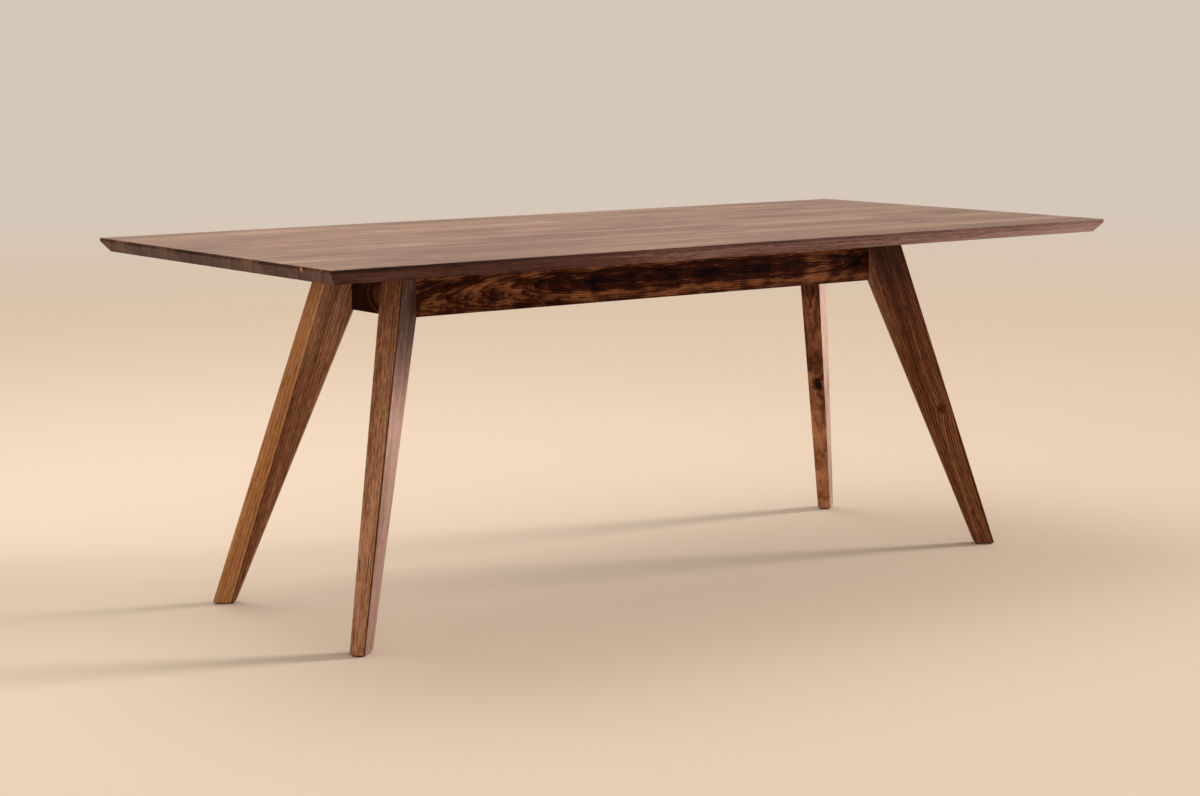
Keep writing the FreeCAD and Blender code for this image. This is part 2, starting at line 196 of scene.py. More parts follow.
class Wood(Finish):
    """Solid wood sawn beside its log's heart, with growth rings drawn out along the grain.

    origin and axes place the board: along its grain, across its face and through it.
    """

    def __init__(self, name, origin, axes, seed):
        super().__init__(name)
        turn = tuple(Matrix(axes).transposed().to_euler())
        self.place = self.add("Mapping", self.place, tuple(origin), turn, vector_type="TEXTURE")
        # Every board takes its noise from a place of its own.
        self.own = self.vector("ADD", self.place, (seed * 7.3, seed * 1.7, 0.0))
        self.along, self.across, self.deep = self.split(self.place)
        self.facing = self.add("NewGeometry", out="Normal")
        self.grain_way = tuple(axes[0])
        self.seed = seed
        self.darker = []

    def rings(self, heart, tilt, warps, turn=0.0, sweep=0.0, dive=0.0):
        """Distance from the heart; each warp is a scale, how drawn out it is and a distance.

        Before the turn, towards the board's first end, a sweep bends the grain down the
        board more and more, and a dive takes the heart deeper into it.
        """
        before = self.math("MINIMUM", self.along - turn, 0.0)
        bend = before * before * sweep
        across = self.across - heart[0] + bend
        deep = self.deep + self.along * tilt - heart[1] - before * dive
        self.own = self.vector("ADD", self.own, self.combine(0.0, bend, 0.0))
        self.radius = self.math("SQRT", across * across + deep * deep)
        for scale, grain, amount in warps:
            self.radius = self.radius + (self.noise(self.own, scale, 3.0, grain=grain) - 0.5) * amount

    def knot(self, along, across, size, dark):
        """Pushes the rings round a dark knot that runs through the board."""
        offset = self.vector("SUBTRACT", self.place, (along, across, 0.0))
        offset = self.vector("MULTIPLY", offset, (0.6, 1.0, 0.0))
        off = self.add("VectorMath", offset, operation="LENGTH", out="Value")
        off = off + (self.noise(self.own, 0.9 / size, 2.0) - 0.5) * (size * 0.9)
        bulge = self.math("EXPONENT", off * (-1.0 / (size * 1.6)))
        self.radius = self.radius + bulge * (size * 1.5)
        self.darker.append(self.span(off, size * 0.3, size * 1.1, dark, 0.0, smooth=True))

    def shades(self, ring, streaks, length, lines, clouds, fibre, ripple):
        """Light and dark of the wood, about 0 to 1, from streaks, ring lines, fibre and a ripple.

        Streaks follow the rings and run about one length; a ripple is an amount, a scale
        and how drawn out it is, and fibre an amount and how drawn out it is.
        """
        fibre_amount, fibre_grain = fibre
        ripple_amount, ripple_scale, ripple_grain = ripple
        count = self.radius / ring
        late = self.math("POWER", self.math("FRACT", count), 2.2)
        each = self.add("TexWhiteNoise", self.math("FLOOR", count), noise_dimensions="1D")
        run = self.combine(self.along / length, count * 0.21 + self.across * 12.0, self.seed * 3.1)
        broad = self.noise(run, 1.0, 5.0, rough=0.65)
        flow = self.combine(self.along + self.seed, self.radius + self.across * 0.3, self.seed * 1.7)
        curl = self.noise(flow, ripple_scale, 5.0, rough=0.6, grain=ripple_grain)
        patch = self.noise(self.own, 7.0, 2.0, grain=0.3)
        self.fibres = self.noise(self.own, 420.0, 3.0, grain=fibre_grain)
        self.late = late
        self.shade = 0.5 + (broad - 0.5) * streaks + (0.35 - late) * lines
        self.shade = self.shade + (each - 0.5) * (lines * 0.7) + (patch - 0.5) * clouds
        self.shade = self.shade + (self.fibres - 0.5) * fibre_amount + (curl - 0.5) * ripple_amount
        for mark in self.darker:
            self.shade = self.shade - mark

    def flecks(self, amount, scale=240.0):
        """Short dark dashes along the grain."""
        dash = self.noise(self.own, scale, 1.0, grain=0.07)
        self.shade = self.shade - self.span(dash, 0.64, 0.76) * amount

    def specks(self, amount, spacing, size):
        """Pin knots, far apart."""
        off = self.add("TexVoronoi", self.vector("MULTIPLY", self.own, (0.4, 1.0, 1.0)), 1 / spacing)
        near = size / spacing
        self.shade = self.shade - self.span(off, near * 0.4, near, amount, 0.0, smooth=True)

    def tone(self, colours, lighter=0.0, contrast=1.0):
        """The shade shown in these colours, made lighter and given its own contrast."""
        return self.ramp((self.shade - 0.5) * contrast + 0.5 + lighter, colours)

    def paint(self, *tone):
        """One tone for the whole board."""
        self.colour = self.tone(*tone)

    def strip(self, limit, *tone, line=0.0, waver=0.003, soft=0.0006):
        """Another tone where a distance is below zero; a line darkens its wavering edge."""
        line_place, line_core, line_edge = 0.0008, 0.0004, 0.0016
        limit = limit + (self.noise(self.own, 25.0, 2.0, grain=0.1) - 0.5) * waver
        inside = self.span(limit, -soft, soft, 1.0, 0.0)
        self.colour = self.mix(inside, self.colour, self.tone(*tone))
        if line:
            off = self.math("ABSOLUTE", limit - line_place)
            near = self.span(off, line_core, line_edge, line, 0.0)
            self.colour = self.mix(near, self.colour, display(30, 12, 5))

    def side(self, way, *tone):
        """Another tone on the faces that look one way."""
        near = self.add("VectorMath", self.facing, tuple(way), operation="DOT_PRODUCT", out="Value")
        near = self.span(near, 0.75, 0.9)
        self.colour = self.mix(near, self.colour, self.tone(*tone))

    def band(self, radius, width, dark):
        """A run of darker or, below zero, paler rings at one distance from the heart."""
        off = self.math("ABSOLUTE", self.radius - radius)
        self.darker.append(self.span(off, width * 0.3, width, dark, 0.0, smooth=True))

    def stretch(self, middle, reach, dark):
        """A darker or, below zero, paler part of the board's length."""
        off = self.math("ABSOLUTE", self.along - middle)
        self.darker.append(self.span(off, 0.0, reach, dark, 0.0, smooth=True))

    def fade(self, start, end, amount):
        """How much lighter, or below zero darker, the wood gets between two places along it."""
        return self.span(self.along, start, end, 0.0, amount, smooth=True)

    def finish(self, roughness, gloss, pores=0.5, ends=0.45):
        """Darker end grain, open pores and a thin satin coat."""
        end_colour = display(52, 28, 18)
        pore_colour = display(34, 17, 11)
        cut = self.add("VectorMath", self.facing, self.grain_way, operation="DOT_PRODUCT", out="Value")
        end_grain = self.span(self.math("ABSOLUTE", cut), 0.55, 0.9, 0.0, ends)
        pore = self.span(self.noise(self.own, 1500.0, 1.0, grain=0.02), 0.60, 0.72)
        pore = pore * self.span(self.late, 0.0, 0.7, 1.0, 0.25)
        colour = self.mix(end_grain, self.colour, end_colour)
        colour = self.mix(pore * pores, colour, pore_colour)
        self.gives("Base Color", colour)
        self.gives("Roughness", (self.fibres - 0.5) * 0.16 + roughness + pore * 0.2)
        self.shader.inputs["Specular IOR Level"].default_value = gloss
        self.bump(self.fibres * 0.35 - pore * 0.8, 0.3, 0.0002)
        return self.material


def cover(node, material):
    """Gives a construction piece its finish."""
    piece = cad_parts[node]
    piece.data.materials.clear()
    piece.data.materials.append(material)


def board(node, kind, axes, seed):
    """Wood of a construction piece, placed from the middle of the piece's box."""
    low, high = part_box(node)
    return Wood(node + kind, (low + high) / 2, axes, seed)


along_x = ((1, 0, 0), (0, 1, 0), (0, 0, 1))
# The top's tones are a little lighter to make up for the weak reflection of its thin coat: partly painted
# sheen.
top_tones = tones((86, 65, 58), (135, 110, 98), (183, 151, 129))
band_tones = tones((5, 1, 0), (46, 18, 9), (102, 68, 56))
bevel_tones = tones((22, 5, 1), (85, 54, 45), (152, 124, 119))
end_band_tones = tones((14, 4, 2), (62, 33, 21), (132, 84, 50))
end_bevel_tones = tones((36, 18, 14), (80, 53, 45), (128, 98, 86))
golden_tones = tones((110, 68, 34), (162, 113, 71), (194, 150, 106))
stave_count = 12
half_top = cad_box[1][0]
stave_warps = ((3.0, 0.3, 0.03), (16.0, 0.12, 0.010), (60.0, 0.08, 0.002))
bevel_out, bevel_down = 0.8, 0.6
spot_stave, spot_size = 2, 0.004
spot_forward, spot_up = 0.022, 0.008
for number in range(1, stave_count + 1):
    node = "top_stave_%02d" % number
    heart_side = 1 if number % 2 else -1
    wood = board(node, "_walnut", along_x, number)
    wood.rings(heart=(heart_side * 0.03, -heart_side * 0.07), tilt=0.012, warps=stave_warps)
    wood.shades(ring=0.0055, streaks=1.4, length=0.5, lines=0.12, clouds=0.3,
                fibre=(0.35, 0.02), ripple=(0.3, 150.0, 0.1))
    wood.flecks(amount=0.35)
    wood.specks(amount=0.5, spacing=0.07, size=0.004)
    wood.paint(top_tones)
    grit = (wood.noise(wood.own, 260.0, 4.0, rough=0.6, grain=0.2) - 0.5) * 0.5
    # On the long bevels the colour gets lighter towards the right end: painted light from the right; the
    # grit is the wood's own fine mottle.
    painted_light_and_grit = wood.span(wood.along, -half_top, half_top, -0.28, 0.5) + grit
    # The end of each board has its own tone, from -0.3 to 0.3.
    own_tone = (number * 5 % 7 - 3) * 0.1
    stroke = wood.add("TexNoise", wood.across + wood.deep * 1.3, 60.0, 4.0, 0.6, noise_dimensions="1D")
    end_grain = (stroke - 0.5) * 0.9 + (0.35 - wood.late) * 0.12 + grit
    end_band = end_grain + own_tone * 1.2 - 0.15
    end_bevel = end_grain + own_tone * 0.4 - 0.03
    for y_way in (-1, 1):
        # The band on each long side also gets lighter towards the right end.
        side_band = wood.span(wood.along, -half_top, half_top, -0.4, 0.38)
        wood.side((0, y_way, 0), band_tones, side_band, 0.6)
        wood.side((0, bevel_out * y_way, -bevel_down), bevel_tones, painted_light_and_grit, 0.7)
    for x_way in (-1, 1):
        wood.side((x_way, 0, 0), end_band_tones, end_band, 0.6)
        wood.side((bevel_out * x_way, 0, -bevel_down), end_bevel_tones, end_bevel, 0.4)
    if number == spot_stave:
        off = wood.combine(0.0, wood.across + spot_forward, wood.deep - spot_up)
        spot = wood.add("VectorMath", off, operation="LENGTH", out="Value")
        wood.strip(spot - spot_size, golden_tones, 0.1)
    cover(node, wood.finish(roughness=0.42, gloss=0.05, ends=0.0))


# Apron frame
# Four dark walnut boards on edge, the long two with wild figure, glued and blocked at
# the corners, where they are cut off square to the legs. Two rails are housed between.
up = Vector((0, 0, 1))
apron_tones = tones((8, 2, 1), (57, 22, 8), (138, 88, 54))
end_apron_tones = tones((6, 2, 1), (44, 19, 8), (112, 70, 38))
wild = ((3.0, 0.5, 0.015), (14.0, 0.45, 0.012), (45.0, 0.4, 0.006), (130.0, 0.3, 0.0025))
end_wild = ((3.0, 0.5, 0.02), (13.0, 0.6, 0.03), (45.0, 0.5, 0.01))

# Each knot's place along and across its apron, its size, and how dark it is.
front_knots = (
    (-0.382, -0.026, 0.004, 0.3),
    (-0.348, -0.022, 0.004, 0.3),
    (-0.160, -0.005, 0.004, 0.12),
    (-0.122, -0.007, 0.004, 0.12),
    (0.003, 0.002, 0.006, 0.1),
    (0.570, -0.014, 0.014, 0.3),
)
back_knots = ((-0.210, -0.018, 0.006, 0.3), (0.260, -0.030, 0.004, 0.3))

# Each long apron's name, outward way, seed, the place where its grain turns, and its knots.
long_aprons = (
    ("front", (0, -1, 0), 21, -0.19, front_knots),
    ("back", (0, 1, 0), 22, 0.15, back_knots),
)
for name, way, seed, turn, knots in long_aprons:
    node = "long_apron_" + name
    out = Vector(way)
    wood = board(node, "_walnut", (up.cross(out), up, out), seed)
    wood.rings(heart=(-0.010, 0.007), tilt=0.0, warps=wild, turn=turn, sweep=0.14, dive=0.12)
    wood.band(radius=0.0, width=0.027, dark=0.32)
    wood.band(radius=0.034, width=0.014, dark=-0.1)
    for knot in knots:
        wood.knot(*knot)
    # The paler stretch near the right end of the front apron is a painted highlight, a soft glare of light
    # on it.
    if name == "front":
        wood.stretch(middle=0.44, reach=0.06, dark=-0.36)
    wood.shades(ring=0.0045, streaks=1.0, length=0.08, lines=0.33, clouds=0.4,
                fibre=(0.6, 0.05), ripple=(1.6, 90.0, 0.22))
    wood.paint(apron_tones)
    cover(node, wood.finish(roughness=0.5, gloss=0.02))
for name, way, seed in (("left", (-1, 0, 0), 23), ("right", (1, 0, 0), 24)):
    node = "end_apron_" + name
    out = Vector(way)
    wood = board(node, "_walnut", (up.cross(out), up, out), seed)
    wood.rings(heart=(-0.016, 0.008), tilt=0.0, warps=end_wild, turn=0.024, dive=0.8)
    wood.band(radius=0.0, width=0.034, dark=-0.26)
    wood.band(radius=0.036, width=0.004, dark=-0.25)
    wood.shades(ring=0.006, streaks=0.8, length=0.1, lines=0.15, clouds=0.3,
                fibre=(0.3, 0.05), ripple=(0.5, 90.0, 0.2))
    wood.paint(end_apron_tones, -0.12)
    cover(node, wood.finish(roughness=0.5, gloss=0.02))

along_y = ((0, 1, 0), (0, 0, 1), (1, 0, 0))
along_z = ((0, 0, 1), (1, 0, 0), (0, 1, 0))
corners = ("front_left", "front_right", "back_left", "back_right")
inner_tones = tones((110, 78, 50), (160, 122, 84), (196, 160, 118))
inner_warps = ((5.0, 0.16, 0.012), (38.0, 0.12, 0.002))
inner_pieces = [(node, along_y) for node in ("cross_rail_left", "cross_rail_right", "top_buttons")]
inner_pieces += [("corner_block_" + name, along_z) for name in corners]
for seed, (node, axes) in enumerate(inner_pieces, start=31):
    wood = board(node, "_hardwood", axes, seed)
    wood.rings(heart=(0.04, -0.05), tilt=0.01, warps=inner_warps)
    wood.shades(ring=0.006, streaks=0.9, length=0.3, lines=0.25, clouds=0.3,
                fibre=(0.35, 0.02), ripple=(0.1, 110.0, 1.0))
    wood.paint(inner_tones)
    cover(node, wood.finish(roughness=0.5, gloss=0.3, pores=0.2, ends=0.2))


# Legs
# Solid walnut blades, upright over the apron and tapered both ways below it, splayed
# along a diagonal and drawn up to the frame's cut-off corners by two bolts each.
class Pattern(Maker):
    """A Geometry Nodes tree with the piece's sizes as its named inputs."""

    prefix = "GeometryNode"

    def __init__(self, name, sizes):
        self.tree = bpy.data.node_groups.new(name, "GeometryNodeTree")
        sockets = self.tree.interface
        sockets.new_socket("Geometry", in_out="OUTPUT", socket_type="NodeSocketGeometry")
        sockets.new_socket("Places", in_out="INPUT", socket_type="NodeSocketGeometry")
        for label, value in sizes.items():
            kind = "NodeSocketFloat" if isinstance(value, float) else "NodeSocketVector"
            sockets.new_socket(label, in_out="INPUT", socket_type=kind).default_value = value
        self.inlet = self.tree.nodes.new("NodeGroupInput")
        self.outlet = self.tree.nodes.new("NodeGroupOutput")

    def size(self, *labels):
        found = [Amount(self, self.inlet.outputs[label]) for label in labels]
        return found if len(found) > 1 else found[0]

    def pick(self, index, values):
        """The value that stands at an index."""
        node = self.add("IndexSwitch", data_type="FLOAT").socket.node
        while len(node.index_switch_items) < len(values):
            node.index_switch_items.new()
        for socket, value in zip(node.inputs, [index] + list(values)):
            self.join(value, socket)
        return Amount(self, node.outputs[0])

    def held(self, name):
        """A value that was stored on the points before the sweep."""
        return self.add("InputNamedAttribute", name, data_type="FLOAT")

    def ends_as(self, shape, material):
        shape = self.add("SetMaterial", self.add("RealizeInstances", shape), None, material)
        self.join(shape, self.outlet.inputs[0])

    def make(self, name, points, body, slot, nodes, **changes):
        """Runs the tree once on its places and keeps the result as a plain mesh piece."""
        piece = bpy.data.objects.new(name, points)
        bpy.context.scene.collection.objects.link(piece)
        modifier = piece.modifiers.new(name, "NODES")
        modifier.node_group = self.tree
        for item in self.tree.interface.items_tree:
            if item.name in changes:
                modifier[item.identifier] = changes[item.name]
        graph = bpy.context.evaluated_depsgraph_get()
        mesh = bpy.data.meshes.new_from_object(piece.evaluated_get(graph), depsgraph=graph)
        piece.modifiers.remove(modifier)
        piece.data = mesh
        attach(piece, body)
        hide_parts(*nodes)
        return piece


# A leg's joint is the middle of the face that cuts off the corner of the apron frame.
plan_angle = math.radians(38.0)
joint_thickness = 0.045
end_low, end_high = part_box("end_apron_right")
back_low, back_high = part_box("long_apron_back")
joint_out = end_high.x - joint_thickness * math.sin(plan_angle) / 2
joint_over = back_high.y - joint_thickness * math.cos(plan_angle) / 2

# The sizes are those of the leg at the back on the right; its quarter mirrors it to the others.
leg_sizes = {
    "Underside": 0.722,
    "Apron Height": 0.112,
    "Pad": 0.002,
    "Top Depth": 0.062,
    "Foot Depth": 0.045,
    "Reach": 0.298,
    "Joint Thickness": joint_thickness,
    "Foot Thickness": 0.031,
    "Arris": 0.0016,
    "Foot Chamfer": 0.003,
    "Joint Out": joint_out,
    "Joint Over": joint_over,
    "Plan Angle": plan_angle,
    "Quarter": (1.0, 1.0, 1.0),
}


def leg_pattern(name, material):
    """Blade swept up a line; its four faces are moved out to each level's own width and depth."""
    leg = Pattern(name, leg_sizes)
    underside, apron, pad, top_depth = leg.size("Underside", "Apron Height", "Pad", "Top Depth")
    foot_depth, reach, chamfer, arris = leg.size("Foot Depth", "Reach", "Foot Chamfer", "Arris")
    joint_half = leg.size("Joint Thickness") / 2
    foot_half = leg.size("Foot Thickness") / 2
    apron_far = top_depth + (reach - top_depth) * apron / (underside - pad)
    foot_near = reach - foot_depth

    # The rows are the foot, the top of its chamfer, the apron's lower edge and the top's underside.
    row = leg.add("InputIndex")
    level = leg.pick(row, (pad, pad + chamfer, underside - apron, underside))
    near = leg.pick(row, (foot_near + chamfer, foot_near, 0.0, 0.0))
    far = leg.pick(row, (reach - chamfer, reach, apron_far, top_depth))
    half = leg.pick(row, (foot_half - chamfer, foot_half, joint_half, joint_half))
    line = leg.add("MeshLine", 4)
    line = leg.add("SetPosition", line, None, leg.combine(0.0, 0.0, level))
    for label, value in (("near", near), ("far", far), ("half", half)):
        line = leg.add("StoreNamedAttribute", line, None, label, value)

    arris_facets = 4
    blank_half = arris * 4
    blank = leg.add("CurvePrimitiveQuadrilateral", blank_half * 2, blank_half * 2)
    blank = leg.add("FilletCurve", blank, arris_facets, arris, mode="POLY")
    blade = leg.add("CurveToMesh", leg.add("MeshToCurve", line), blank, 1.0, True)

    # Each face moves out to its place, and then the blade turns to its diagonal and its quarter.
    x, y, z = leg.split(leg.add("InputPosition"))
    outer = leg.math("GREATER_THAN", x, 0.0)
    out = x + outer * (leg.held("far") - blank_half) + (1 - outer) * (leg.held("near") + blank_half)
    over = y + leg.math("SIGN", y) * (leg.held("half") - blank_half)
    angle = leg.size("Plan Angle")
    cosine = leg.math("COSINE", angle)
    sine = leg.math("SINE", angle)
    x = leg.size("Joint Out") + out * cosine - over * sine
    y = leg.size("Joint Over") + out * sine + over * cosine
    place = leg.vector("MULTIPLY", leg.combine(x, y, z), leg.size("Quarter"))
    blade = leg.add("SetPosition", blade, None, place)
    for kept in ("near", "far", "half"):
        blade = leg.add("RemoveAttribute", blade, kept)
    quarter_x, quarter_y, quarter_z = leg.split(leg.size("Quarter"))
    mirrored = leg.math("LESS_THAN", quarter_x * quarter_y, 0.0)
    leg.ends_as(leg.add("FlipFaces", blade, mirrored), material)
    return leg


brown_tones = tones((56, 26, 13), (116, 74, 48), (173, 128, 98))
dark_tones = tones((20, 6, 1), (77, 37, 15), (142, 96, 66))
mauve_tones = tones((50, 20, 8), (142, 112, 102), (198, 170, 160))
sapwood_and_painted_light_tones = tones((124, 95, 84), (172, 146, 135), (204, 182, 171))
burl_tones = tones((34, 13, 6), (112, 66, 43), (172, 118, 82))
straight = ((5.0, 0.16, 0.010), (38.0, 0.10, 0.002))
burl = ((9.0, 0.5, 0.022), (30.0, 0.6, 0.012), (90.0, 0.7, 0.004))

# Each leg's name, its sides of the table, tones, seed, streak length, ring lines and curl.
legs = (
    ("front_left", -1, -1, brown_tones, 51, 0.25, 0.2, 0.9),
    ("front_right", 1, -1, dark_tones, 55, 0.6, 0.4, 0.35),
    ("back_left", -1, 1, brown_tones, 53, 0.4, 0.3, 0.7),
    ("back_right", 1, 1, burl_tones, 54, 0.1, 0.3, 0.7),
)
leg_run = leg_sizes["Reach"] - leg_sizes["Top Depth"]
leg_lean = math.atan2(leg_run, leg_sizes["Underside"] - leg_sizes["Pad"])

# What half a leg's thickness loses on each metre of grain, and where the strips lie on the legs.
narrowing = 0.0095
arris_strip = 0.0008
# Where the painted highlight strip lies on the front right leg.
painted_light_strip = 0.0755
golden_strip, golden_spread = 0.027, 0.011
for name, x_side, y_side, leg_tones, seed, length, lines, curl in legs:
    outward = Vector((x_side * math.cos(plan_angle), y_side * math.sin(plan_angle), 0))
    joint = Vector((x_side * joint_out, y_side * joint_over, leg_sizes["Underside"]))
    grain = outward * math.sin(leg_lean) - Vector((0, 0, math.cos(leg_lean)))
    inward = -(outward * math.cos(leg_lean) + Vector((0, 0, math.sin(leg_lean))))
    sideways = grain.cross(inward)
    origin = joint + outward * leg_sizes["Top Depth"]
    axes = (grain, -sideways, inward) if name == "back_right" else (grain, inward, sideways)
    wood = Wood("leg_" + name + "_walnut", origin, axes, seed)
    if name == "back_right":
        wood.rings(heart=(0.0, 0.1), tilt=0.0, warps=burl)
        wood.knot(along=0.39, across=0.003, size=0.013, dark=1.0)
        wood.shades(ring=0.007, streaks=2.2, length=length, lines=lines, clouds=0.5,
                    fibre=(0.5, 0.05), ripple=(curl, 90.0, 0.3))
    else:
        wood.rings(heart=(-0.08, -0.08), tilt=0.0, warps=straight)
        if name == "front_right":
            wood.knot(along=0.42, across=0.022, size=0.010, dark=0.3)
        wood.shades(ring=0.005, streaks=0.9, length=length, lines=lines, clouds=0.4,
                    fibre=(0.6, 0.1), ripple=(curl, 230.0, 0.25))
    wood.flecks(amount=0.5, scale=300.0)
    if name == "front_left":
        # Darker at the top and lighter further down: painted shade under the table top and painted sheen
        # lower on the leg.
        wood.paint(leg_tones, wood.fade(0.04, 0.2, 0.28) + wood.fade(0.3, 0.5, 0.15) - 0.1)
        arris = joint_thickness / 2 - wood.along * narrowing - wood.deep
        wood.strip(arris - arris_strip, dark_tones, line=0.9)
        # The side face is dark at the top, where the table top's shadow falls: painted shadow, fading out
        # lower down and a little darker again near the foot.
        side_painted_shadow = wood.fade(0.08, 0.32, 0.48) + wood.fade(0.3, 0.5, -0.16) - 0.42
        wood.side(sideways, mauve_tones, side_painted_shadow, 0.6)
    if name == "front_right":
        # Darker at the top, under the table top: painted shade.
        wood.paint(leg_tones, wood.fade(0.04, 0.2, 0.18) - 0.1)
        # A lighter strip near the inner edge is a painted highlight, where that edge catches the light.
        wood.strip(painted_light_strip - wood.across, brown_tones, soft=0.004)
        wood.side(-outward, brown_tones)
    if name == "back_left":
        wood.paint(leg_tones, wood.fade(0.1, 0.5, -0.1))
        limit = wood.across - wood.along * golden_spread - golden_strip
        wood.strip(limit, golden_tones, line=0.7, waver=0.001)
    if name == "back_right":
        # The inner face is darker at the top, where the table top shades it: painted shade.
        wood.paint(leg_tones, wood.fade(0.15, 0.3, 0.12) + wood.fade(0.4, 0.6, 0.08) - 0.1)
        # The side face is pale sapwood whose paleness is partly painted light on this strongly lit face; it
        # gets darker towards the foot.
        wood.side(-sideways, sapwood_and_painted_light_tones, wood.fade(0.2, 0.55, -0.3) + 0.05, 0.6)
    pattern = leg_pattern("leg_blade_" + name, wood.finish(roughness=0.45, gloss=0.06))
    blank = bpy.data.meshes.new("leg_" + name)
    pattern.make("leg_" + name + "_blade", blank, "root", "walnut_base", ["leg_" + name],
                 Quarter=(float(x_side), float(y_side), 1.0))


# Stiffening channels
# Three steel channels, let into grooves in the underside, keep the wide solid top flat.
# They are folded from sheet with round bends, slotted for screws and powder-coated black.
def black_coat():
    coat = Finish("black_powder_coat")
    peel = coat.noise(coat.place, 900.0, 2.0)
    wear = coat.noise(coat.place, 14.0, 3.0)
    coat.gives("Base Color", coat.ramp(wear, ((0.3, display(20, 20, 21)), (0.75, display(34, 33, 33)))))
    coat.gives("Roughness", coat.span(wear, 0.3, 0.7, 0.42, 0.58))
    coat.bump(peel, 0.35, 0.00015)
    return coat.material


channel_sizes = {
    "Width": 0.030,
    "Height": 0.010,
    "Wall": 0.0025,
    "Half Length": 0.3825,
    "Bend": 0.003,
    "Slot Length": 0.012,
    "Slot Width": 0.0056,
    "Foot": (0.0, 0.0, 0.722),
}


def channel_pattern(material):
    """U section swept along a line and cut by a round-ended slot at each place."""
    bend_facets, slot_facets = 5, 8
    channel = Pattern("folded_channel", channel_sizes)

    def upright_line(reach):
        """Line that goes as far below zero as above it."""
        start = channel.combine(0.0, 0.0, 0 - reach)
        return channel.add("CurvePrimitiveLine", start, channel.combine(0.0, 0.0, reach))

    width, height, wall, bend = channel.size("Width", "Height", "Wall", "Bend")
    half = width / 2
    inner = half - wall

    # The rows are the eight corners of the U, all the way round from its lower left.
    row = channel.add("InputIndex")
    across = channel.pick(row, (0 - half, half, half, inner, inner, 0 - inner, 0 - inner, 0 - half))
    up = channel.pick(row, (0.0, 0.0, height, height, wall, wall, height, height))
    section = channel.add("MeshLine", 8)
    section = channel.add("SetPosition", section, None, channel.combine(across, up, 0.0))
    section = channel.add("SetSplineCyclic", channel.add("MeshToCurve", section), None, True)
    inside_bend = wall * 0.3
    edge = wall * 0.2
    radius = channel.pick(row, (bend, bend, edge, edge, inside_bend, inside_bend, edge, edge))
    section = channel.add("FilletCurve", section, bend_facets, radius, mode="POLY")
    bar = channel.add("CurveToMesh", upright_line(channel.size("Half Length")), section, 1.0, True)
    x, y, z = channel.split(channel.add("InputPosition"))
    bar = channel.add("SetPosition", bar, None, channel.combine(x, 0 - z, y))

    slot_width = channel.size("Slot Width")
    round_end = slot_width * 0.499
    slot = channel.add("CurvePrimitiveQuadrilateral", slot_width, channel.size("Slot Length"))
    slot = channel.add("FilletCurve", slot, slot_facets, round_end, mode="POLY")
    slot = channel.add("CurveToMesh", upright_line(height), slot, 1.0, True)
    places = channel.size("Places")
    slots = channel.add("RealizeInstances", channel.add("InstanceOnPoints", places, None, slot))
    bar = channel.add("MeshBoolean", bar, slots, operation="DIFFERENCE", solver="EXACT")
    foot = channel.size("Foot")
    channel.ends_as(channel.add("SetPosition", bar, None, None, foot), material)
    return channel


def separate_boxes(node):
    """Lowest and highest corner of each separate solid in a group of like pieces."""
    same_corner = 1e-5
    body = bmesh.new()
    body.from_mesh(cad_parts[node].data)
    bmesh.ops.remove_doubles(body, verts=body.verts, dist=same_corner)
    waiting = set(body.verts)
    boxes = []
    for start in body.verts:
        if start not in waiting:
            continue
        waiting.discard(start)
        solid = [start]
        for corner in solid:
            for edge in corner.link_edges:
                other = edge.other_vert(corner)
                if other in waiting:
                    waiting.discard(other)
                    solid.append(other)
        low = Vector([min(corner.co[axis] for corner in solid) for axis in range(3)])
        high = Vector([max(corner.co[axis] for corner in solid) for axis in range(3)])
        boxes.append((low, high))
    body.free()
    return boxes


def points_mesh(name, places, directions=None):
    """Bare points for a pattern, with the way that each one looks."""
    mesh = bpy.data.meshes.new(name)
    mesh.from_pydata(places, [], [])
    if directions:
        looks = mesh.attributes.new("direction", "FLOAT_VECTOR", "POINT")
        looks.data.foreach_set("vector", [value for direction in directions for value in direction])
    return mesh


channel = channel_pattern(black_coat())
screw_boxes = separate_boxes("stiffener_screws")
for name in ("left", "centre", "right"):
    low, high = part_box("stiffener_" + name)
    middle = (low + high) / 2
    slots = []
    for screw_low, screw_high in screw_boxes:
        if low.x < screw_low.x < high.x:
            slots.append((0.0, (screw_low.y + screw_high.y) / 2, 0.0))
    points = points_mesh("stiffener_%s_slots" % name, slots)
    channel.make("stiffener_%s_channel" % name, points, "root", "black_steel", ["stiffener_" + name],
                 Foot=(middle.x, middle.y, low.z))


# Screws, bolts, washers and nuts
# Bright zinc-plated steel: pan head screws hold the channels, countersunk ones the blocks
# and buttons, and hanger bolts with washers and nuts draw the legs up to the frame.
def zinc_plate():
    zinc = Finish("zinc_plate")
    cloud = zinc.noise(zinc.place, 60.0, 3.0)
    scratch = zinc.noise(zinc.place, 1800.0, 2.0)
    greys = ((0.3, display(150, 148, 140)), (0.7, display(196, 194, 186)))
    zinc.gives("Base Color", zinc.ramp(cloud, greys))
    zinc.gives("Metallic", 1.0)
    zinc.gives("Roughness", zinc.span(cloud, 0.3, 0.7, 0.26, 0.42))
    zinc.bump(scratch, 0.2, 0.00005)
    return zinc.material


def turned(pattern, sides, rows, outline):
    """Closed round form: outline gives each row's level and radius, at each turn about the axis."""
    same_point = 1e-6
    grid = pattern.add("MeshGrid", 1.0, 1.0, sides + 1, rows)
    index = pattern.add("InputIndex")
    column = pattern.math("FLOOR", (index + 0.5) / rows)
    row = index - column * rows
    turn = column * (2 * math.pi / sides)
    level, radius = outline(row, turn)
    x = radius * pattern.math("COSINE", turn)
    y = radius * pattern.math("SINE", turn)
    skin = pattern.add("SetPosition", grid, None, pattern.combine(x, y, level))
    return pattern.add("MergeByDistance", skin, None, same_point)


